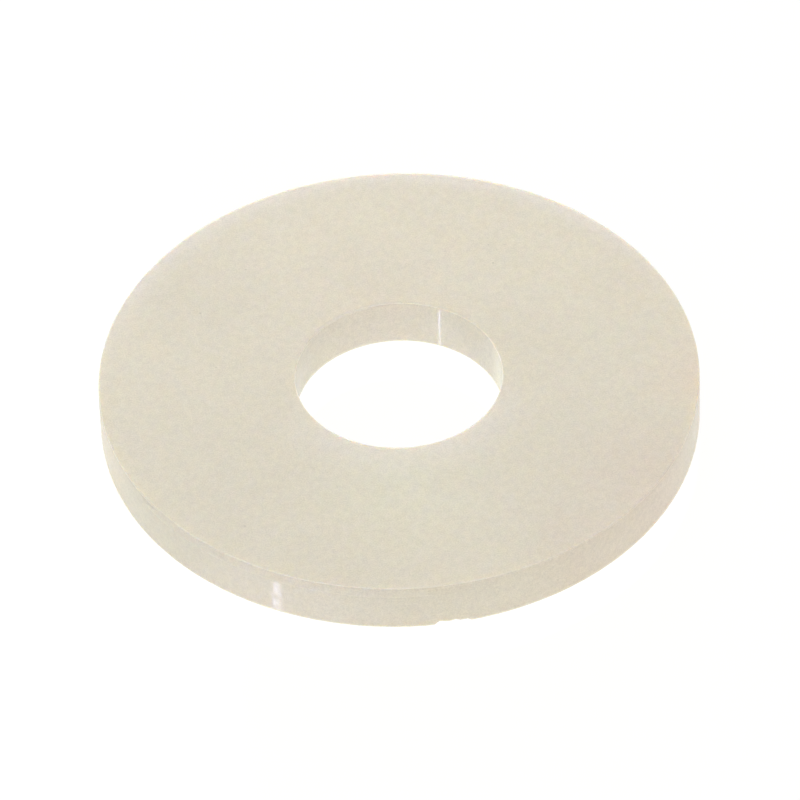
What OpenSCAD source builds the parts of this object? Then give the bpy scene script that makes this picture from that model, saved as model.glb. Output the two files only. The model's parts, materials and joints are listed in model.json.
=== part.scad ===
// Flat washer with a large face, moulded in one piece from natural nylon.
//
// It lies flat, with its underside on z = 0 and its bore on the Z axis.
// The ejector marks are in the top face, and the gate scar is on the -Y side.

/* [Washer] */
// Outer diameter
outer_d = 24; // [20:0.5:40]
// Bore diameter
bore_d = 8.3; // [5:0.1:10]
// Thickness from face to face
thickness = 2.1; // [1:0.1:4]
// Chamfer that breaks each of the four edges
edge_break = 0.05; // [0.02:0.01:0.2]

/* [Ejector marks] */
// Number of ejector pins
pin_count = 4; // [2:1:6]
// Diameter of each pin
pin_d = 3.1; // [1:0.1:3.5]
// Depth of a mark below the top face
pin_depth = 0.02; // [0.01:0.01:0.1]
// Place of the pins across the face: 0 is the bore's wall, 1 is the rim
pin_place = 0.6; // [0.5:0.01:0.65]

/* [Gate scar] */
// Width of the scar along the rim
gate_w = 1.5; // [0.5:0.1:3]
// Height of the scar above the underside
gate_h = 0.15; // [0.1:0.05:0.5]
// Depth of the scar into the rim
gate_depth = 0.2; // [0.05:0.01:0.3]

/* [Hidden] */

nylon = [0.88, 0.85, 0.77];
outer_r = outer_d / 2;
bore_r = bore_d / 2;
pin_circle_r = bore_r + pin_place * (outer_r - bore_r);
pin_step = 360 / pin_count;
// How far a cutting shape runs past the surface that it cuts
clear = 1;
$fn = 96;

// Cross-section of the ring, with its edges broken
module ring_section() {
    polygon([
        [bore_r + edge_break, 0],
        [outer_r - edge_break, 0],
        [outer_r, edge_break],
        [outer_r, thickness - edge_break],
        [outer_r - edge_break, thickness],
        [bore_r + edge_break, thickness],
        [bore_r, thickness - edge_break],
        [bore_r, edge_break]
    ]);
}

// Shallow round marks that the ejector pins left, halfway between the axes
module ejector_marks() {
    for (i = [0 : pin_count - 1])
        rotate([0, 0, pin_step * (i + 0.5)])
            translate([pin_circle_r, 0, thickness - pin_depth])
                cylinder(d = pin_d, h = pin_depth + clear);
}

// Notch in the lower edge of the rim, where the gate was cut off
module gate_scar() {
    translate([-gate_w / 2, -outer_r - clear, -clear])
        cube([gate_w, gate_depth + clear, gate_h + clear]);
}

module washer() {
    color(nylon)
        difference() {
            rotate_extrude()
                ring_section();
            ejector_marks();
            gate_scar();
        }
}

washer();
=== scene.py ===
import json
import math
from types import SimpleNamespace

import bmesh
import bpy
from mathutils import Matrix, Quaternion, Vector, geometry, noise


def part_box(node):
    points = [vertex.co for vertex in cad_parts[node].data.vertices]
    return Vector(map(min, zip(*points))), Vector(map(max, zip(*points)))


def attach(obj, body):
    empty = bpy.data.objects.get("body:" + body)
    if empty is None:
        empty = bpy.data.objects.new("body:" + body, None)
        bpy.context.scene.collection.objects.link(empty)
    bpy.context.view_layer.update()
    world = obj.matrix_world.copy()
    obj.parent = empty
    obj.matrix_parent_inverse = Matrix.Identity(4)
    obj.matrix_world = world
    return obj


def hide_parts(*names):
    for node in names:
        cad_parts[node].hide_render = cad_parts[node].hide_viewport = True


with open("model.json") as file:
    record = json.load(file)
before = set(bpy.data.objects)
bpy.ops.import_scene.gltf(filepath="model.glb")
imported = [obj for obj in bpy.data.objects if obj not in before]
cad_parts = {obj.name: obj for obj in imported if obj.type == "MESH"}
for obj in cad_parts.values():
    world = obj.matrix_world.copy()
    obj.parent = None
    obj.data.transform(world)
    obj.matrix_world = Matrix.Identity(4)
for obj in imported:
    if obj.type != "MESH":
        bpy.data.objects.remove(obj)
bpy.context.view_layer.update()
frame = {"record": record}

# ---------------------------------------------------------------- sizes, in millimetres
MM = 0.001
low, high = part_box("washer")
mounts = {m["name"]: m for m in frame["record"]["mounts"]}
OUTER_R = (high.x - low.x) / 2 / MM
THICK = (high.z - low.z) / MM
BORE_R = mounts["screw_bore"]["dims"]["r_mm"]

EDGE_R = 0.05          # radius of the rounded top edges
EDGE_STEPS = 6         # faces round a rounded edge
EDGE_GAP = 0.02        # from a rounded edge to the next row of points
FLASH_ROOM = 0.012     # how far the rim's wall stays inside the CAD box, for its unevenness and flash
TOP_LEAN = 0.012       # how far the rim's top edge leans in
LEAN_HEIGHT = 0.45     # height of the stretch that leans
DRAFT = 0.012          # how much narrower the bore's radius is at the top
FLASH_TOP = 0.03       # height of the flash on the two lower edges
FOOT_TOP = 0.21        # top of the rim's foot, the stretch that the gate scar can cut into

# Mesh
RIM_STEP = 0.375       # degrees between columns of the rim
SCAR_STEP = 0.1        # the same at the gate scar
BORE_COLUMNS = 480
WALL_ROWS = 24
FACE_MARGIN = 0.2      # how far the faces' own mesh stays from the walls
UNDER_MARGIN = 0.3     # the same on the underside, at the rim
TOP_GRID, UNDER_GRID = 0.4, 0.5
ROW_RATIO = 0.866      # between the rows of a grid of even triangles and the points of a row
# Rings of points from the walls' close columns to a face's wide grid, as (distance in, points)
TOP_STEPS = [(0.35, 480), (0.55, 240)]
UNDER_STEPS = [(0.5, 480), (0.75, 240)]
BORE_STEP = (0.32, 240)

# Ejector marks: four round pins pushed the washer out of its mould
PIN_R = 1.55
PIN_STEP = 0.12        # width of the soft step round a mark
PIN_CIRCLE_R = BORE_R + 0.6 * (OUTER_R - BORE_R)
PIN_DEPTHS = {45: 0.003, 135: 0.002, 225: 0.003, 315: 0.002}

# Gate scar: where the feed of plastic was cut off the rim's lower edge
SCAR_FROM, SCAR_TO = -93.4, -86.1
SCAR_DEPTH = 0.2
SCAR_TEAR = 0.012      # how uneven its cut face is
# Height of the scar at places along it, as (degrees, height)
SCAR_HEIGHTS = [
    (SCAR_FROM, 0), (-92.2, 0.18), (-90.4, 0.12), (-89.2, 0.17), (-88.3, 0.1), (-87.1, 0.1), (SCAR_TO, 0),
]
SCAR_CENTRE = (0, -OUTER_R + 0.1, 0.05)
SCAR_HALF_SIZE = (0.8, 0.28, 0.14)

# ---------------------------------------------------------------- looks
CAMERA_AZIMUTH = -8.4               # from the front, in degrees
LEFT = 180 + CAMERA_AZIMUTH         # the direction that is left for the camera
BASE_COLOUR = (0.754, 0.716, 0.615)
FACE_ROUGH, SCAR_ROUGH = 0.43, 0.66
POLISHED, DULLED = 0.05, 0.25       # roughness of the walls where they are smoothest and where they aren't
POLISHED_SIDE = -123.4              # the way that the smoothest parts of both walls face, in degrees
RIDGE_HEIGHT = 0.75                 # of the matte ridge across the rim's polished strip
# Dark specks in the top face, as (x, y, radius). The last two are in the ring of an ejector mark.
SPECKS = [
    (-7.10, 1.80, 0.04), (-7.26, 5.05, 0.05), (-5.06, 7.25, 0.04), (-2.03, 6.81, 0.04),
    (-7.33, -7.28, 0.05), (4.85, 5.70, 0.04), (4.84, 6.80, 0.04),
]
# Broad, barely visible differences in colour, partly the plastic's own uneven tone and partly painted light
# and shade, as (x, y, radius, change of red, green and blue)
PATCHES = [
    (-1.0, -6.9, 5.0, (0.025, 0.048, 0.03)),
    (6.5, 5.5, 5.0, (0.012, 0.012, 0.0)),
    (11.4, -1.7, 3.5, (0.024, -0.008, -0.008)),
    (11.6, -2.7, 2.2, (0.04, 0.0, -0.01)),
    (5.2, -10.1, 3.0, (-0.01, -0.035, -0.02)),
    (8.5, -7.3, 4.5, (-0.018, -0.052, -0.036)),
    (-7.8, 6.2, 5.0, (-0.030, -0.030, -0.024)),
    (-0.7, 5.7, 3.5, (-0.012, -0.022, -0.015)),
]


# ---------------------------------------------------------------- shape
def smooth(t):
    """0 to 1 with a soft start and end."""
    t = min(max(t, 0.0), 1.0)
    return t * t * (3 - 2 * t)


def wave(x, y, z, size):
    """Smooth noise, about -1 to 1, whose bumps are about size across."""
    return noise.noise(Vector((x / size, y / size, z / size)))


def on_circle(radius, degrees):
    a = math.radians(degrees)
    return radius * math.cos(a), radius * math.sin(a)


def rim_angles():
    """Angles of the rim's columns, closer together at the gate scar."""
    angles, a = [], -180.0
    while a < 180 - RIM_STEP / 2:
        angles.append(a)
        a += SCAR_STEP if SCAR_FROM - 1 < a < SCAR_TO + 1 else RIM_STEP
    return angles


def scar_height(degrees):
    """How high the gate scar reaches at this angle, 0 away from it."""
    for (a0, h0), (a1, h1) in zip(SCAR_HEIGHTS, SCAR_HEIGHTS[1:]):
        if a0 <= degrees <= a1:
            return h0 + (h1 - h0) * smooth((degrees - a0) / (a1 - a0))
    return 0.0


def wall_wave(radius, degrees, z):
    """The wall's own unevenness: small hollows, and larger ones that run up the wall."""
    x, y = on_circle(radius, degrees)
    return 0.0014 * wave(x, y, z, 1.1) + 0.003 * wave(x, y, z * 0.3, 4.0)


def rim_foot(wall_r, flash):
    """The rim's foot away from the scar, with a trace of flash, as (radius, height)."""
    rows = [(wall_r, FOOT_TOP - 0.04 * i) for i in range(5)]
    return rows + [
        (wall_r + 0.4 * flash, FLASH_TOP), (wall_r + flash, 0.014), (wall_r + flash - 0.004, 0.003),
        (wall_r + flash - 0.012, 0.0), (wall_r - 0.03, 0.0), (wall_r - 0.24, 0.0),
        (wall_r - UNDER_MARGIN, 0.0),
    ]


def scar_foot(wall_r, height, depth):
    """The rim's foot with a notch of this height and depth cut into it, in as many points."""
    cut_r = wall_r - depth
    return [
        (wall_r, FOOT_TOP), (wall_r, height + 0.012), (wall_r - 0.006, height + 0.002),
        (wall_r - 0.25 * depth, height), (wall_r - 0.5 * depth, height),
        (wall_r - 0.75 * depth, height), (wall_r - 0.95 * depth, 0.97 * height),
        (cut_r, 0.7 * height), (cut_r, 0.35 * height), (cut_r, 0.0),
        (wall_r - 0.24, 0.0), (wall_r - UNDER_MARGIN, 0.0),
    ]


def torn_foot(plain, degrees, wall_r, height):
    """The foot blended from plain into the scar, which is shallow and smooth where it is low."""
    depth = SCAR_DEPTH * min(height / 0.08, 1)
    rough = SCAR_TEAR * min(height / 0.1, 1)
    share = smooth(height / 0.04)
    rows = []
    for i, ((r0, z0), (r1, z1)) in enumerate(zip(plain, scar_foot(wall_r, height, depth))):
        r, z = r0 + (r1 - r0) * share, z0 + (z1 - z0) * share
        on_cut_face = 1 < i < 9
        if on_cut_face:
            x, y = on_circle(r, degrees)
            r += rough * share * wave(x, y, 7 * i, 0.09)
            z = max(z + 0.6 * rough * share * wave(x, y, 7 * i + 3, 0.07), 0)
        rows.append((r, z))
    return rows


def rim_profile(degrees):
    """The rim's cross-section at an angle, from the top face round to the underside."""
    x, y = on_circle(OUTER_R, degrees)
    flash = 0.004 + 0.006 * wave(x, y, 0, 0.35) + 0.004 * wave(x, y, 9, 2.5)
    wall_r = OUTER_R - FLASH_ROOM
    top_r = wall_r - TOP_LEAN
    rows = [(top_r - FACE_MARGIN, THICK), (top_r - EDGE_R - EDGE_GAP, THICK)]
    for i in range(EDGE_STEPS + 1):
        a = math.radians(90 - 90 * i / EDGE_STEPS)
        rows.append((top_r - EDGE_R + EDGE_R * math.cos(a), THICK - EDGE_R + EDGE_R * math.sin(a)))
    wall_top, wall_low = THICK - EDGE_R - EDGE_GAP, FOOT_TOP + 0.05
    for i in range(WALL_ROWS):
        z = wall_top + (wall_low - wall_top) * i / (WALL_ROWS - 1)
        lean = TOP_LEAN * smooth((z - THICK + LEAN_HEIGHT) / LEAN_HEIGHT)
        rows.append((wall_r - lean + wall_wave(OUTER_R, degrees, z), z))
    foot = rim_foot(wall_r, flash)
    cut = scar_height(degrees)
    if cut > 0:
        foot = torn_foot(foot, degrees, wall_r, cut)
    return rows + foot


def bore_profile(degrees):
    """The bore's cross-section at an angle, from the underside up round to the top face."""
    x, y = on_circle(BORE_R, degrees)
    flash = 0.003 + 0.004 * wave(x, y, 30, 0.3)
    low_r, top_r = BORE_R, BORE_R - DRAFT
    rows = [
        (low_r + FACE_MARGIN, 0.0), (low_r + 0.03, 0.0), (low_r - flash + 0.012, 0.0),
        (low_r - flash + 0.003, 0.003), (low_r - flash, 0.014), (low_r - 0.4 * flash, FLASH_TOP),
    ]
    wall_low, wall_top = 2 * FLASH_TOP, THICK - EDGE_R - EDGE_GAP
    for i in range(WALL_ROWS):
        share = i / (WALL_ROWS - 1)
        z = wall_low + (wall_top - wall_low) * share
        rows.append((low_r - DRAFT * share + wall_wave(BORE_R, degrees, z + 20), z))
    for i in range(EDGE_STEPS + 1):
        a = math.radians(90 * i / EDGE_STEPS)
        rows.append((top_r + EDGE_R - EDGE_R * math.cos(a), THICK - EDGE_R + EDGE_R * math.sin(a)))
    return rows + [(top_r + EDGE_R + EDGE_GAP, THICK), (top_r + FACE_MARGIN, THICK)]


def band(bm, angles, profile):
    """A wall all the way round: one column of points for each angle, joined by quads.

    Returns the loops of points at the two ends of the columns.
    """
    columns = []
    for a in angles:
        column = []
        for r, z in profile(a):
            x, y = on_circle(r, a)
            column.append(bm.verts.new((x * MM, y * MM, z * MM)))
        columns.append(column)
    for i, here in enumerate(columns):
        after = columns[(i + 1) % len(columns)]
        for j in range(len(here) - 1):
            bm.faces.new((here[j], here[j + 1], after[j + 1], after[j]))
    return [c[0] for c in columns], [c[-1] for c in columns]


def top_height(x, y):
    """Height of the top face: flat, with a shallow dish with a soft step round it at each ejector pin."""
    z = THICK
    for degrees, depth in PIN_DEPTHS.items():
        cx, cy = on_circle(PIN_CIRCLE_R, degrees)
        outward = math.hypot(x - cx, y - cy) - PIN_R
        z -= depth * (1 - smooth((outward + PIN_STEP / 2) / PIN_STEP))
    return z


def under_height(x, y):
    return 0.0


def loop_edges(start, count):
    return [(start + i, start + (i + 1) % count) for i in range(count)]


def ring_points(cx, cy, radius, count):
    turns = [2 * math.pi * i / count for i in range(count)]
    return [(cx + radius * math.cos(a), cy + radius * math.sin(a)) for a in turns]


def grid_points(inner_r, outer_r, rings, step):
    """A grid of even triangles between two radii, clear of the rings."""
    clear = 0.4 * step
    points = []
    rows = int(outer_r / (step * ROW_RATIO)) + 1
    for j in range(-rows, rows + 1):
        for i in range(-int(outer_r / step) - 1, int(outer_r / step) + 2):
            x, y = (i + 0.5 * (j % 2)) * step, j * step * ROW_RATIO
            inside = inner_r + clear < math.hypot(x, y) < outer_r - clear
            if inside and all(abs(math.hypot(x - cx, y - cy) - r) > clear for cx, cy, r, _ in rings):
                points.append((x, y))
    return points


def flat_face(bm, outer, inner, height, rings, step, upward):
    """A face between two loops of vertices, filled with near-even triangles."""
    own = outer + inner
    points = [(v.co.x / MM, v.co.y / MM) for v in own]
    outer_r = min(math.hypot(*p) for p in points[: len(outer)])
    inner_r = max(math.hypot(*p) for p in points[len(outer):])
    edges = loop_edges(0, len(outer)) + loop_edges(len(outer), len(inner))
    for ring in rings:
        edges += loop_edges(len(points), ring[-1])
        points += ring_points(*ring)
    points += grid_points(inner_r, outer_r, rings, step)
    found = geometry.delaunay_2d_cdt([Vector(p) for p in points], edges, [], 0, 1e-7)
    places, triangles, origin = found[0], found[2], found[3]
    verts = []
    for p, came_from in zip(places, origin):
        known = [k for k in came_from if k < len(own)]
        if known:
            verts.append(own[known[0]])
        else:
            verts.append(bm.verts.new((p.x * MM, p.y * MM, height(p.x, p.y) * MM)))
    for t in triangles:
        a, b, c = (places[k] for k in t)
        middle = math.hypot((a.x + b.x + c.x) / 3, (a.y + b.y + c.y) / 3)
        if not inner_r < middle < outer_r:
            continue
        counter_clockwise = (b.x - a.x) * (c.y - a.y) > (b.y - a.y) * (c.x - a.x)
        order = t if counter_clockwise == upward else t[::-1]
        bm.faces.new([verts[k] for k in order])


def step_rings(rim_steps):
    """Rings round the washer's axis, as (x, y, radius, points)."""
    rings = [(0, 0, OUTER_R - inward, count) for inward, count in rim_steps]
    return rings + [(0, 0, BORE_R + BORE_STEP[0], BORE_STEP[1])]


def pin_rings():
    """Rings of points that carry the step round each ejector mark."""
    rings = []
    for degrees in PIN_DEPTHS:
        cx, cy = on_circle(PIN_CIRCLE_R, degrees)
        rings += [(cx, cy, PIN_R - 0.25, 72), (cx, cy, PIN_R + 0.25, 72)]
        rings += [(cx, cy, PIN_R + PIN_STEP * i / 6, 144) for i in range(-4, 5)]
    return rings


def make_washer():
    bm = bmesh.new()
    rim_top, rim_low = band(bm, rim_angles(), rim_profile)
    bore_low, bore_top = band(bm, [360 * i / BORE_COLUMNS for i in range(BORE_COLUMNS)], bore_profile)
    flat_face(bm, rim_top, bore_top, top_height, step_rings(TOP_STEPS) + pin_rings(), TOP_GRID, True)
    flat_face(bm, rim_low, bore_low, under_height, step_rings(UNDER_STEPS), UNDER_GRID, False)
    bmesh.ops.recalc_face_normals(bm, faces=bm.faces)
    mesh = bpy.data.meshes.new("nylon_washer")
    bm.to_mesh(mesh)
    bm.free()
    mesh.shade_smooth()
    piece = bpy.data.objects.new("nylon_washer", mesh)
    bpy.context.scene.collection.objects.link(piece)
    return piece


# ---------------------------------------------------------------- material
class Nodes:
    """Adds nodes to a tree. Each method but feed gives back an output, to feed to the next."""

    def __init__(self, tree):
        self.tree = tree

    def feed(self, socket, value):
        if isinstance(value, bpy.types.NodeSocket):
            self.tree.links.new(value, socket)
        else:
            socket.default_value = value

    def add(self, kind, inputs, output=0, **settings):
        node = self.tree.nodes.new(kind)
        for name, value in settings.items():
            setattr(node, name, value)
        for socket, value in inputs.items():
            self.feed(node.inputs[socket], value)
        return node.outputs[output]

    def math(self, operation, a, b=0.0, c=0.0):
        return self.add("ShaderNodeMath", {0: a, 1: b, 2: c}, operation=operation)

    def times(self, a, b):
        return self.math("MULTIPLY", a, b)

    def total(self, *values):
        result = values[0]
        for value in values[1:]:
            result = self.math("ADD", result, value)
        return result

    def mixed(self, mask, a, b):
        """a where the mask is 0 and b where it is 1."""
        return self.add("ShaderNodeMix", {0: mask, 2: a, 3: b})

    def rise(self, value, start, end):
        """0 up to start and 1 from end on, with a soft step between; start may be the larger."""
        inputs = {"Value": value, "From Min": start, "From Max": end}
        return self.add("ShaderNodeMapRange", inputs, interpolation_type="SMOOTHSTEP")

    def part(self, vector, axis):
        return self.add("ShaderNodeSeparateXYZ", {0: vector}, axis)

    def vector(self, operation, a, b=(0, 0, 0), output="Vector"):
        return self.add("ShaderNodeVectorMath", {0: a, 1: b}, output, operation=operation)

    def scaled(self, vector, factor):
        return self.add("ShaderNodeVectorMath", {0: vector, 3: factor}, operation="SCALE")

    def length(self, vector):
        return self.vector("LENGTH", vector, output="Value")

    def distance(self, a, b):
        return self.vector("DISTANCE", a, b, output="Value")

    def toward(self, facing, degrees):
        """1 where a wall faces this way, -1 where it faces the other way."""
        x, y = on_circle(1, degrees)
        return self.vector("DOT_PRODUCT", facing, (x, y, 0), output="Value")

    def tinted(self, colour, mask, change):
        """The colour with a change of red, green and blue added where the mask is 1."""
        return self.vector("ADD", colour, self.scaled(change, mask))

    def noise(self, place, size, detail=1.0, stretch=(1, 1, 1)):
        """Smooth noise, about -1 to 1, whose bumps are about size across."""
        place = self.vector("MULTIPLY", place, tuple(s / size for s in stretch))
        value = self.add("ShaderNodeTexNoise", {"Vector": place, "Scale": 1.0, "Detail": detail})
        return self.math("MULTIPLY_ADD", value, 2.0, -1.0)


def add_places(n, m):
    """Where a point is on the washer, in millimetres, and which surface it is on."""
    m.place = n.vector("MULTIPLY", n.add("ShaderNodeTexCoord", {}, "Object"), (1 / MM, 1 / MM, 1 / MM))
    m.side, m.behind, m.height = (n.part(m.place, axis) for axis in "XYZ")
    m.across = n.length(n.vector("MULTIPLY", m.place, (1, 1, 0)))
    m.facing = n.add("ShaderNodeTexCoord", {}, "Normal")
    m.wall = n.rise(n.math("ABSOLUTE", n.part(m.facing, "Z")), 0.75, 0.3)
    m.face = n.math("SUBTRACT", 1.0, m.wall)
    m.inside = n.times(m.wall, n.rise(m.across, OUTER_R - 2, BORE_R + 2))
    m.outside = n.math("SUBTRACT", m.wall, m.inside)
    # How far a wall faces left, seen from the camera's side
    m.leftward = n.toward(m.facing, LEFT)


def add_edges(n, m):
    """Masks of the four edges, unevenly worn, and of the two top ones, which carry painted shade."""
    from_wall = n.math("MINIMUM", n.math("SUBTRACT", OUTER_R, m.across),
                       n.math("SUBTRACT", m.across, BORE_R))
    from_face = n.math("MINIMUM", n.math("SUBTRACT", THICK, m.height), m.height)
    from_edge = n.math("SQRT", n.total(n.times(from_wall, from_wall), n.times(from_face, from_face)))
    worn = n.rise(n.noise(m.place, 0.7, 3.0), -0.4, 0.4)
    m.edge = n.times(n.rise(from_edge, 0.16, 0.02), n.math("MULTIPLY_ADD", worn, 0.2, 0.8))
    # The top edges, strongest at the front and the back, for painted shade that darkens them
    fore_or_aft = n.math("DIVIDE", n.math("ABSOLUTE", m.behind), m.across)
    strength = n.math("MULTIPLY_ADD", n.rise(fore_or_aft, 0.2, 0.8), 0.7, 0.3)
    m.lip = n.times(strength, n.times(m.edge, n.rise(m.height, 0.5, 1.5)))


def add_polish(n, m):
    """The walls are smoothest where they face one way, in a strip on the rim and one in the bore."""
    rim_x, rim_y = on_circle(OUTER_R, POLISHED_SIDE)
    bore_x, bore_y = on_circle(BORE_R, POLISHED_SIDE + 180)
    m.from_strip = n.distance(m.place, (rim_x, rim_y, THICK / 2))
    m.from_bore_strip = n.distance(m.place, (bore_x, bore_y, THICK / 2))
    m.polished = n.rise(n.toward(m.facing, POLISHED_SIDE), 0.72, 0.985)
    # The rim is matte above the polish, and has a matte ridge across the strip
    above = n.rise(m.height, THICK - 0.62, THICK - 0.45)
    ridge = n.rise(n.math("ABSOLUTE", n.math("SUBTRACT", m.height, RIDGE_HEIGHT)), 0.2, 0.05)
    ridge = n.times(ridge, n.rise(m.from_strip, 3.5, 1.2))
    m.matte = n.times(n.total(n.times(above, 0.25), n.times(ridge, 0.15)), n.times(m.outside, m.polished))


def add_scar(n, m):
    """The cut face of the gate scar."""
    off_centre = n.vector("SUBTRACT", m.place, SCAR_CENTRE)
    from_scar = n.length(n.vector("MULTIPLY", off_centre, tuple(1 / size for size in SCAR_HALF_SIZE)))
    m.scar = n.rise(from_scar, 1.15, 0.85)


def add_noises(n, m):
    """Unevenness of the plastic at each scale, from the whole washer down to its grain."""
    m.cloud = n.noise(m.place, 6.0, 1.0)
    m.warmth = n.noise(n.vector("ADD", m.place, (0, 0, 60)), 4.0, 2.0)
    m.patch = n.noise(n.vector("ADD", m.place, (40, 0, 0)), 1.6, 2.0)
    m.uneven = n.noise(m.place, 1.1, 1.0)
    m.peel = n.noise(m.place, 0.45, 1.0)
    m.coarse = n.noise(n.vector("ADD", m.place, (0, 30, 0)), 0.22, 1.0)
    m.grain = n.noise(m.place, 0.06, 1.0)
    m.rings = n.noise(m.place, 0.06, 1.0, (0.02, 0.02, 1))


def add_flow(n, m):
    """Flow marks that fan out from the gate, and the weld line where the plastic met behind the bore."""
    from_gate = n.distance(m.place, (0, -OUTER_R, 0))
    fronts = n.add("ShaderNodeCombineXYZ", {"X": n.math("POWER", from_gate, 0.7)})
    fronts = n.vector("ADD", fronts, n.vector("MULTIPLY", m.place, (0.06, 0.06, 0.3)))
    m.flow = n.times(n.noise(fronts, 0.5, 2.0), n.rise(from_gate, 13.0, 2.0))
    off_line = n.math("ABSOLUTE", n.total(m.side, n.times(m.patch, 0.12)))
    m.weld = n.times(n.rise(off_line, 0.09, 0.01), n.rise(m.behind, BORE_R - 0.5, BORE_R + 0.5))


def add_marks(n, m):
    """Dark specks, and a fine dark line round each ejector mark, stronger round two of them."""
    m.specks = 0.0
    for x, y, radius in SPECKS:
        away = n.distance(m.place, (x, y, THICK))
        m.specks = n.total(m.specks, n.rise(away, 1.4 * radius, 0.5 * radius))
    pin_x, pin_y = on_circle(PIN_CIRCLE_R, 45)
    quarter = n.vector("SUBTRACT", n.vector("ABSOLUTE", m.place), (pin_x, pin_y, THICK))
    off_ring = n.math("ABSOLUTE", n.math("SUBTRACT", n.length(quarter), PIN_R))
    line = n.times(n.rise(off_ring, 0.07, 0.0), n.rise(m.patch, -0.6, 0.3))
    m.mark = n.times(line, n.math("MULTIPLY_ADD", n.rise(n.times(m.side, m.behind), -5.0, 5.0), 0.6, 0.4))


def rim_tints(n, m):
    """Changes of colour on the rim, as (mask, change of red, green and blue)."""
    outside, leftward = m.outside, m.leftward
    return [
        # Painted shade: the whole rim wall darker and yellower than the faces
        (outside, (-0.109, -0.113, -0.160)),
        # Its lower part, paler, is painted light, and a band under its top edge, darker, is painted shade
        (n.times(outside, n.rise(m.height, 1.6, 0.6)), (0.018, 0.015, 0.013)),
        (n.times(outside, n.rise(m.height, THICK - 0.45, THICK - 0.25)), (-0.015, -0.015, -0.01)),
        # By the way that it faces, painted light and shade: far left, right, and far right
        (n.times(outside, n.rise(leftward, 0.88, 0.985)), (0.06, 0.01, -0.06)),
        (n.times(outside, n.rise(leftward, -0.3, -0.9)), (0, -0.003, -0.018)),
        (n.times(outside, n.rise(leftward, -0.88, -0.985)), (-0.03, -0.037, -0.07)),
        # Beside the polished strip, paler, a painted glow round its highlight; and in the gate scar
        (n.times(outside, n.rise(m.from_strip, 7.0, 0.0)), (0.055, 0.05, 0.085)),
        (m.scar, (0.03, 0.03, 0.07)),
    ]


def bore_tints(n, m):
    """Changes of colour in the bore, painted light and shade."""
    inside, leftward = m.inside, m.leftward
    off_edge = n.times(inside, n.math("SUBTRACT", 1.0, m.edge))
    return [
        # Painted shade: the whole bore wall a little darker
        (inside, (-0.029, -0.031, -0.038)),
        # By the way that it faces: much paler far left, as in the photo, and a little darker right
        # Painted light far left and painted shade right
        (n.times(off_edge, n.rise(leftward, 0.88, 1.0)), (0.22, 0.25, 0.22)),
        (n.times(inside, n.rise(leftward, -0.5, -0.95)), (-0.025, -0.01, -0.035)),
        # Beside the polished strip, paler, a painted glow round its highlight
        (n.times(inside, n.rise(m.from_bore_strip, 1.2, 0.0)), (0.04, 0.045, 0.06)),
    ]


def face_tints(n, m):
    """Changes of colour on the faces: paler by the bore's front edge and the rim's back edge, painted light
    that stands for light coming through the plastic.
    """
    by_bore = n.times(m.face, n.rise(m.across, BORE_R + 2.2, BORE_R - 0.3))
    by_rim = n.times(m.face, n.rise(m.across, OUTER_R - 1.2, OUTER_R))
    tints = [
        (n.times(by_bore, n.rise(m.behind, 0.0, -4.0)), (0.04, 0.05, 0.115)),
        (n.times(by_rim, n.rise(m.behind, 1.0, 8.0)), (0.03, 0.045, 0.135)),
        # A little paler towards the back, a painted sheen
        (n.times(m.face, n.rise(m.behind, -8.0, 12.0)), (0.052, 0.046, 0.050)),
    ]
    for x, y, radius, change in PATCHES:
        away = n.distance(m.place, (x, y, THICK / 2))
        tints.append((n.rise(away, radius, 0.0), change))
    return tints


def nylon_colour(n, m):
    """The base colour, with its changes fitted to the photo.

    The changes that go by the way a wall faces, and the broad ones on the face, partly stand for light
    that the lamps here don't give. They are fixed to the washer, so they stay put in any view.
    """
    tints = [
        (m.warmth, (0.006, 0, -0.012)),
        # Painted shade: the top edges darker
        (m.lip, (-0.11, -0.10, -0.06)),
        # Painted shade: the lowest part of both walls darker
        (n.times(m.wall, n.rise(m.height, 0.3, 0.0)), (-0.06, -0.04, -0.01)),
    ]
    tint = (1, 1, 1)
    for mask, change in tints + rim_tints(n, m) + bore_tints(n, m) + face_tints(n, m):
        tint = n.tinted(tint, mask, change)
    light = n.total(
        1.0, n.times(m.cloud, 0.016), n.times(m.patch, 0.010), n.times(m.grain, 0.16),
        n.times(m.coarse, 0.075), n.times(m.flow, 0.006), n.times(m.weld, -0.006),
        n.times(m.specks, -0.16), n.times(m.mark, -0.010),
    )
    return n.vector("MULTIPLY", n.scaled(tint, light), BASE_COLOUR)


def nylon_roughness(n, m):
    """Satin faces, glossier walls, slightly worn edges and a rough scar."""
    face = n.total(FACE_ROUGH, n.times(m.patch, 0.03), n.times(m.coarse, 0.04),
                   n.times(m.flow, 0.02), n.times(m.weld, -0.05))
    wall = n.total(n.mixed(m.polished, DULLED, POLISHED), n.times(m.uneven, 0.02),
                   n.times(m.rings, 0.01), m.matte)
    rough = n.total(n.mixed(m.wall, face, wall), n.times(m.edge, 0.08))
    return n.mixed(m.scar, rough, n.total(SCAR_ROUGH, n.times(m.coarse, 0.08)))


def nylon_bump(n, m):
    """The finest detail of the surface, in thousandths of a millimetre."""
    satin = n.total(n.times(m.grain, 0.7), n.times(m.coarse, 0.5), n.times(m.patch, 0.5))
    turned = n.total(n.times(m.rings, 0.05), n.times(m.peel, 0.25), n.times(m.grain, 0.03))
    torn = n.total(n.times(m.grain, 2.0), n.times(m.coarse, 5.0))
    height = n.mixed(m.scar, n.mixed(m.wall, satin, turned), torn)
    return n.add("ShaderNodeBump", {"Strength": 1.0, "Distance": 0.001 * MM, "Height": height})


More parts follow.
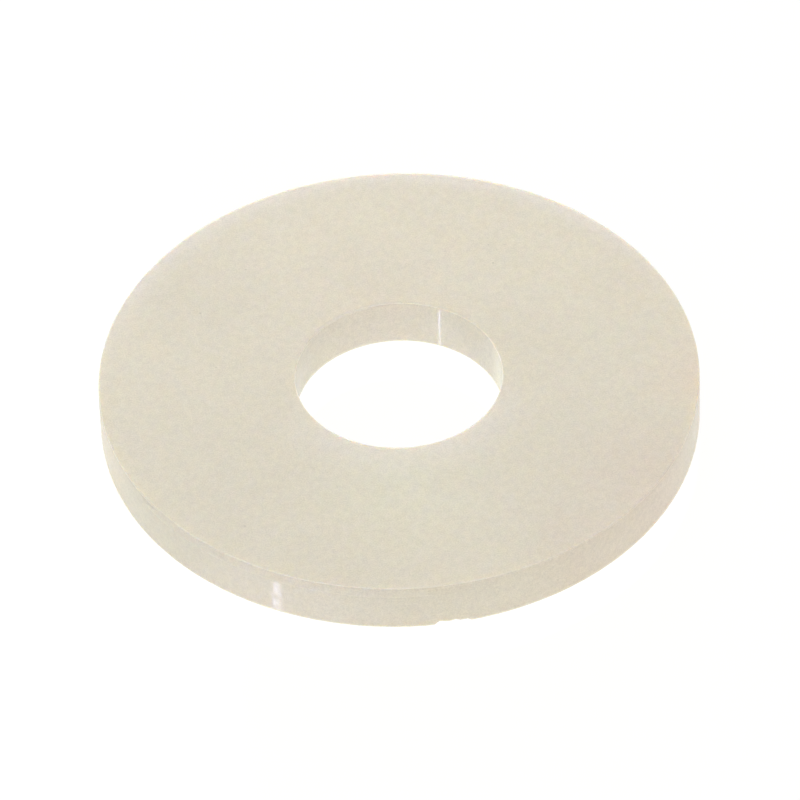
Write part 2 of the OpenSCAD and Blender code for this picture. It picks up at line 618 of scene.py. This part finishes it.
def nylon():
    """Natural nylon as moulded: an ivory, slightly cloudy plastic with satin faces and glossier walls."""
    mat = bpy.data.materials.new("natural_nylon")
    mat.use_nodes = True
    n = Nodes(mat.node_tree)
    m = SimpleNamespace()  # the places, masks and noises that the colour, roughness and bump share
    for step in (add_places, add_edges, add_polish, add_scar, add_noises, add_flow, add_marks):
        step(n, m)
    inputs = mat.node_tree.nodes["Principled BSDF"].inputs
    n.feed(inputs["Base Color"], nylon_colour(n, m))
    n.feed(inputs["Roughness"], nylon_roughness(n, m))
    n.feed(inputs["Normal"], nylon_bump(n, m))
    inputs["IOR"].default_value = 1.53
    inputs["Subsurface Weight"].default_value = 1.0
    inputs["Subsurface Radius"].default_value = (1.0, 0.8, 0.5)
    inputs["Subsurface Scale"].default_value = 0.3 * MM
    return mat


# ---------------------------------------------------------------- studio
CAMERA_ELEVATION, CAMERA_TILT = 43.91, -1.848      # in degrees
CAMERA_DISTANCE = 23.55                            # in outer radii of the washer
CAMERA_LENS, CAMERA_SENSOR = 318.3, 36
CAMERA_SHIFT = (0.0007, -0.0083)

TABLE_RADIUS = 2.5                                 # in metres
TABLE_GAP = 0.01                                   # below the washer, in millimetres
TABLE_COLOUR = (0.05, 0.05, 0.05, 1)
TABLE_GLOW, TABLE_GLOW_COLOUR = 0.97, (1, 1, 0.985, 1)

# Soft round lamps, as (degrees from the camera's side, elevation, diameter in metres, strength, colour)
SOFT_LAMPS = [
    (0, 38, 0.3, 0.03, (1, 1, 1)),
    (45, 38, 0.3, 0.40, (1, 0.96, 1)),
    (90, 38, 0.3, 0.17, (1, 0.75, 0.7)),
    (-45, 38, 0.3, 0.40, (1, 0.98, 1)),
    (-135, 38, 0.3, 0.27, (1, 1, 0.8)),
    (180, 12, 0.1, 0.9, (0.84, 0.95, 1)),
    (0, 90, 0.3, 0.30, (1, 1, 0.9)),
]
LAMP_DISTANCE = 0.25
LOW_LAMP = 20                                      # elevation below which a lamp isn't mirrored
KEY_SIZE = (0.008, 0.019)                          # width and height, in metres
KEY_RADIANCE, KEY_COLOUR = 76, (0.72, 0.72, 1)
KEY_DEGREES, KEY_ELEVATION, KEY_DISTANCE = -48.9, 44.2, 0.22


def towards(degrees, elevation):
    """Unit vector from the washer to a place in the studio, its angle counted from the camera's side."""
    a, e = math.radians(degrees + CAMERA_AZIMUTH - 90), math.radians(elevation)
    return Vector((math.cos(a) * math.cos(e), math.sin(a) * math.cos(e), math.sin(e)))


def make_camera():
    """The camera looks down on the washer from the front, a touch from the left."""
    back = towards(0, CAMERA_ELEVATION)
    data = bpy.data.cameras.new("camera")
    data.lens = CAMERA_LENS
    data.sensor_width = CAMERA_SENSOR
    data.clip_start, data.clip_end = 0.01, 10
    data.shift_x, data.shift_y = CAMERA_SHIFT
    camera = bpy.data.objects.new("camera", data)
    camera.location = Vector((0, 0, THICK / 2 * MM)) + back * CAMERA_DISTANCE * OUTER_R * MM
    camera.rotation_mode = "QUATERNION"
    tilt = Quaternion((0, 0, 1), math.radians(CAMERA_TILT))
    camera.rotation_quaternion = (-back).to_track_quat("-Z", "Y") @ tilt
    bpy.context.scene.collection.objects.link(camera)
    bpy.context.scene.camera = camera


def light_table():
    """Glossy glass over white light."""
    mat = bpy.data.materials.new("light_table")
    mat.use_nodes = True
    inputs = mat.node_tree.nodes["Principled BSDF"].inputs
    inputs["Base Color"].default_value = TABLE_COLOUR
    inputs["Roughness"].default_value = 0.05
    inputs["IOR"].default_value = 2.0
    inputs["Emission Color"].default_value = TABLE_GLOW_COLOUR
    inputs["Emission Strength"].default_value = TABLE_GLOW
    return mat


def make_table():
    bm = bmesh.new()
    bmesh.ops.create_circle(bm, cap_ends=True, segments=64, radius=TABLE_RADIUS)
    mesh = bpy.data.meshes.new("table")
    bm.to_mesh(mesh)
    bm.free()
    mesh.materials.append(light_table())
    table = bpy.data.objects.new("table", mesh)
    table.location.z = -TABLE_GAP * MM
    bpy.context.scene.collection.objects.link(table)


def make_world():
    """A surround that is white at the horizon and dark above."""
    world = bpy.data.worlds.new("studio")
    world.use_nodes = True
    n = Nodes(world.node_tree)
    up = n.part(n.add("ShaderNodeTexCoord", {}, "Generated"), "Z")
    background = world.node_tree.nodes["Background"]
    background.inputs["Color"].default_value = (1, 1, 1, 1)
    n.feed(background.inputs["Strength"], n.rise(up, 0.2, 0.03))
    bpy.context.scene.world = world


def place_lamp(lamp, degrees, elevation, distance):
    """A lamp that faces the washer and doesn't show itself to the camera."""
    piece = bpy.data.objects.new(lamp.name, lamp)
    away = towards(degrees, elevation)
    piece.location = away * distance
    piece.rotation_mode = "QUATERNION"
    piece.rotation_quaternion = away.to_track_quat("Z", "Y")
    piece.visible_camera = False
    # A low lamp would hide the top face behind glare in a view from the other side
    piece.visible_glossy = elevation > LOW_LAMP
    bpy.context.scene.collection.objects.link(piece)


def make_soft_lamps():
    """Round soft lamps. At strength 1 a lamp alone would light a white card that faces it to white."""
    for i, (degrees, elevation, size, strength, colour) in enumerate(SOFT_LAMPS):
        lamp = bpy.data.lights.new(f"soft_lamp_{i + 1}", "AREA")
        lamp.shape = "DISK"
        lamp.size = size
        lamp.energy = strength * (math.pi * LAMP_DISTANCE) ** 2
        lamp.color = colour
        place_lamp(lamp, degrees, elevation, LAMP_DISTANCE)


def make_key():
    """A small bright lamp: its glare on the glossy table shows in the washer's walls as upright streaks."""
    lamp = bpy.data.lights.new("key", "AREA")
    lamp.shape = "RECTANGLE"
    lamp.size, lamp.size_y = KEY_SIZE
    lamp.energy = KEY_RADIANCE * math.pi * lamp.size * lamp.size_y
    lamp.color = KEY_COLOUR
    place_lamp(lamp, KEY_DEGREES, KEY_ELEVATION, KEY_DISTANCE)


make_camera()
make_table()
make_world()
make_soft_lamps()
make_key()
bpy.context.scene.view_settings.view_transform = "Standard"

washer = make_washer()
washer.data.materials.append(nylon())
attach(washer, "root")
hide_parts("washer")
